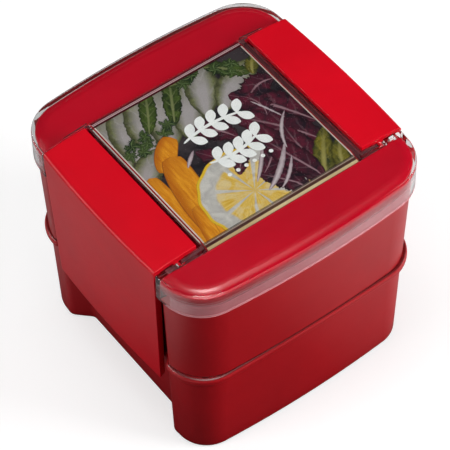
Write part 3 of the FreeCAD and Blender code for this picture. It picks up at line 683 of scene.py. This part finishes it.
def make_card_sheet():
    """Thin closed sheet that carries the print; it stands in for the CAD card."""
    half_x, half_y = CARD_LIMITS
    corners = [(x * half_x * MM, y * half_y * MM, z * MM)
               for z in (CARD_SHEET_BOTTOM, CARD_SHEET_TOP) for x, y in ((-1, -1), (1, -1), (1, 1), (-1, 1))]
    faces = [(3, 2, 1, 0), (4, 5, 6, 7)] + [(a, (a + 1) % 4, (a + 1) % 4 + 4, a + 4) for a in range(4)]
    mesh = bpy.data.meshes.new("card_sheet")
    mesh.from_pydata(corners, [], faces)
    sheet = print_object("card_sheet", mesh, ink("bed_ink", dark_bed_pattern))
    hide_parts("picture_card")


def make_border():
    """Printed border, on top of everything else on the card."""
    half_x, half_y = CARD_LIMITS
    inner_x, inner_y = PICTURE_LIMITS
    border = Print()
    border.rectangle((-half_x, -half_y), (half_x, -inner_y))
    border.rectangle((-half_x, inner_y), (half_x, half_y))
    border.rectangle((-half_x, -inner_y), (-inner_x, inner_y))
    border.rectangle((inner_x, -inner_y), (half_x, inner_y))
    border.finish("card_border", ink("border_ink", border_pattern))


def make_frisee():
    """Curly endive: bursts of short, strongly ruffled leaflets."""
    frisee = Print()
    for x, y in FRISEE_CENTRES:
        for spoke in range(FRISEE_SPOKES):
            angle = spoke / FRISEE_SPOKES * math.tau + RANDOM.uniform(-0.4, 0.4)
            reach = RANDOM.uniform(2.4, 4.2)
            end = (x + reach * math.cos(angle), y + reach * math.sin(angle))
            bend = (x + reach * 0.6 * math.cos(angle + 0.6), y + reach * 0.6 * math.sin(angle + 0.6))
            frisee.leaf(((x, y), bend, end, RANDOM.uniform(0.7, 1.2), 0.4))
    frisee.finish("frisee_print", leaf_ink("frisee"))


def make_sprigs():
    """White decoration: two leafy sprigs and a row of dots."""
    sprigs = Print()
    for stem in SPRIG_STEMS:
        sprigs.leaf(stem, 0.3)
        for number in range(SPRIG_LEAVES):
            x, y = bent_point(*stem[:3], (number + 0.7) / SPRIG_LEAVES)
            for side in (-1, 1):
                angle = side * math.radians(SPRIG_LEAF_ANGLE)
                tip = (x + SPRIG_LEAF_LENGTH * math.cos(angle), y + SPRIG_LEAF_LENGTH * math.sin(angle))
                middle = (x + SPRIG_LEAF_LENGTH * 0.35, y + side * SPRIG_LEAF_LENGTH * 0.55)
                sprigs.leaf(((x, y), middle, tip, SPRIG_LEAF_WIDTH, 0.0), 0.75)
    for place in DOT_PLACES:
        sprigs.disc(place, DOT_RADIUS, 20, 2)
    sprigs.finish("white_sprigs", ink("white_ink", white_ink_pattern))


def print_leaves(name, shapes, material, blunt=0.6):
    """One object of printed leaves that share an ink."""
    leaves = Print()
    for shape in shapes:
        leaves.leaf(shape, blunt)
    leaves.finish(name, material)


def make_card():
    """Salad picture, from the bottom layer to the top one."""
    make_card_sheet()
    purple = leaf_ink("radicchio")
    print_leaves("lettuce_print", LETTUCE, leaf_ink("lettuce"))
    print_leaves("greens_print", GREENS, leaf_ink("greens"))
    make_frisee()
    print_leaves("radicchio_print", RADICCHIO, purple)
    print_leaves("olive_print", OLIVE_LEAVES, leaf_ink("olive"))
    print_leaves("carrot_print", CARROTS, ink("carrot_ink", carrot_pattern), 0.22)
    lemon = Print()
    lemon.disc(LEMON_CENTRE, LEMON_RADIUS)
    lemon.finish("lemon_print", ink("lemon_ink", lemon_pattern))
    print_leaves("radicchio_front_print", RADICCHIO_FRONT, purple)
    print_leaves("rib_print", WHITE_RIBS, leaf_ink("rib"))
    make_sprigs()
    make_border()


def grey(level):
    """Neutral colour."""
    return (level, level, level)


def reflected_floor(g):
    """The floor's tone in reflections and bounced light, all painted: a painted shadow darkens it towards the
    front left, and painted light brightens it to the left and to the right.
    """
    place = g.place()
    front_left = g.dot(place, (-0.58, -0.81, 0.0))
    left = g.dot(place, (-0.9, 0.4, 0.0))
    right = g.dot(place, (0.97, -0.24, 0.0))
    tone = g.mix(g.spread(front_left, 0.0, 0.09), grey(0.1), grey(0.03))
    tone = g.mix(g.spread(left, 0.066, 0.1, 0.0, 0.8), tone, grey(0.55))
    return g.mix(g.spread(right, 0.03, 0.12), tone, grey(0.65))


def floor_material():
    """Pale floor. Cameras see it nearly white; reflections and bounced light see a dimmer studio floor with
    painted shade and light.
    """
    g = Graph("pale_floor")
    white = g.diffuse(g.mix(g.noise(g.place(), 3.0), grey(0.5), grey(0.53)))
    glow = g.add("ShaderNodeEmission", {"Color": opaque(grey(1)), "Strength": FLOOR_GLOW})
    bright = g.add("ShaderNodeAddShader", {0: white, 1: glow.outputs[0]})
    path = g.add("ShaderNodeLightPath")
    through = g.math("MULTIPLY", path.outputs["Is Transmission Ray"], FLOOR_THROUGH_PLASTIC)
    direct = g.math("MAXIMUM", path.outputs["Is Camera Ray"], through)
    return g.surface(g.blend(direct, g.diffuse(reflected_floor(g)), bright.outputs[0]))


def make_floor():
    """Wide flat floor just under the feet."""
    corners = [(x * FLOOR_HALF, y * FLOOR_HALF, 0) for x, y in ((-1, -1), (1, -1), (1, 1), (-1, 1))]
    mesh = bpy.data.meshes.new("floor")
    mesh.from_pydata(corners, [], [(0, 1, 2, 3)])
    mesh.materials.append(floor_material())
    floor = bpy.data.objects.new("floor", mesh)
    floor.location.z = -FLOOR_DROP
    bpy.context.scene.collection.objects.link(floor)


def softbox(name, direction, distance, size, power, glossy):
    """Softbox aimed at the lid. One kind only shows in reflections, the other only gives diffuse light."""
    data = bpy.data.lights.new(name, "AREA")
    data.shape = "RECTANGLE"
    data.size, data.size_y = size
    data.energy = power
    light = bpy.data.objects.new(name, data)
    away = Vector(direction).normalized() * distance
    light.location = Vector(LIGHT_TARGET) + away
    light.rotation_euler = (-away).to_track_quat("-Z", "Y").to_euler()
    light.visible_glossy = glossy
    light.visible_transmission = glossy
    light.visible_diffuse = not glossy
    bpy.context.scene.collection.objects.link(light)


def world_light():
    """White backdrop for the camera, a dark studio in reflections and weak fill light for everything else."""
    world = bpy.data.worlds.new("studio")
    bpy.context.scene.world = world
    world.use_nodes = True
    tree = world.node_tree
    path = tree.nodes.new("ShaderNodeLightPath")
    level = tree.nodes.new("ShaderNodeValue").outputs[0]
    level.default_value = 0.0
    for ray, amount in WORLD_LEVELS:
        share = tree.nodes.new("ShaderNodeMath")
        share.operation = "MULTIPLY_ADD"
        share.inputs[1].default_value = amount
        tree.links.new(path.outputs[ray], share.inputs[0])
        tree.links.new(level, share.inputs[2])
        level = share.outputs[0]
    background = tree.nodes["Background"]
    background.inputs["Color"].default_value = (1, 1, 1, 1)
    tree.links.new(level, background.inputs["Strength"])


def light_studio():
    """All the light there is."""
    world_light()
    for light in LIGHTS:
        softbox(*light)


def place_camera():
    """Camera from its azimuth, elevation, roll, distance and small shifts."""
    azimuth, elevation, roll = (math.radians(a) for a in (CAMERA_AZIMUTH, CAMERA_ELEVATION, CAMERA_ROLL))
    heading = Vector((math.sin(azimuth), -math.cos(azimuth), 0))
    back = heading * math.cos(elevation) + Vector((0, 0, math.sin(elevation)))
    level = Vector((math.cos(azimuth), math.sin(azimuth), 0))
    upright = back.cross(level)
    right = math.cos(roll) * level + math.sin(roll) * upright
    up = -math.sin(roll) * level + math.cos(roll) * upright
    shift_x, shift_y = CAMERA_SHIFT
    data = bpy.data.cameras.new("camera")
    data.lens = CAMERA_LENS
    data.sensor_width = SENSOR_WIDTH
    data.clip_start = NEAR_CLIP
    camera = bpy.data.objects.new("camera", data)
    turn = Matrix((right, up, back)).transposed().to_4x4()
    place = Vector((0, 0, CAMERA_AIM_HEIGHT)) - shift_x * right - shift_y * up + CAMERA_DISTANCE * back
    camera.matrix_world = Matrix.Translation(place) @ turn
    bpy.context.scene.collection.objects.link(camera)
    bpy.context.scene.camera = camera


def set_view():
    """Plain colour handling."""
    view = bpy.context.scene.view_settings
    view.view_transform = "Standard"
    view.look = "None"


dress_all()
make_card()
make_floor()
light_studio()
place_camera()
set_view()
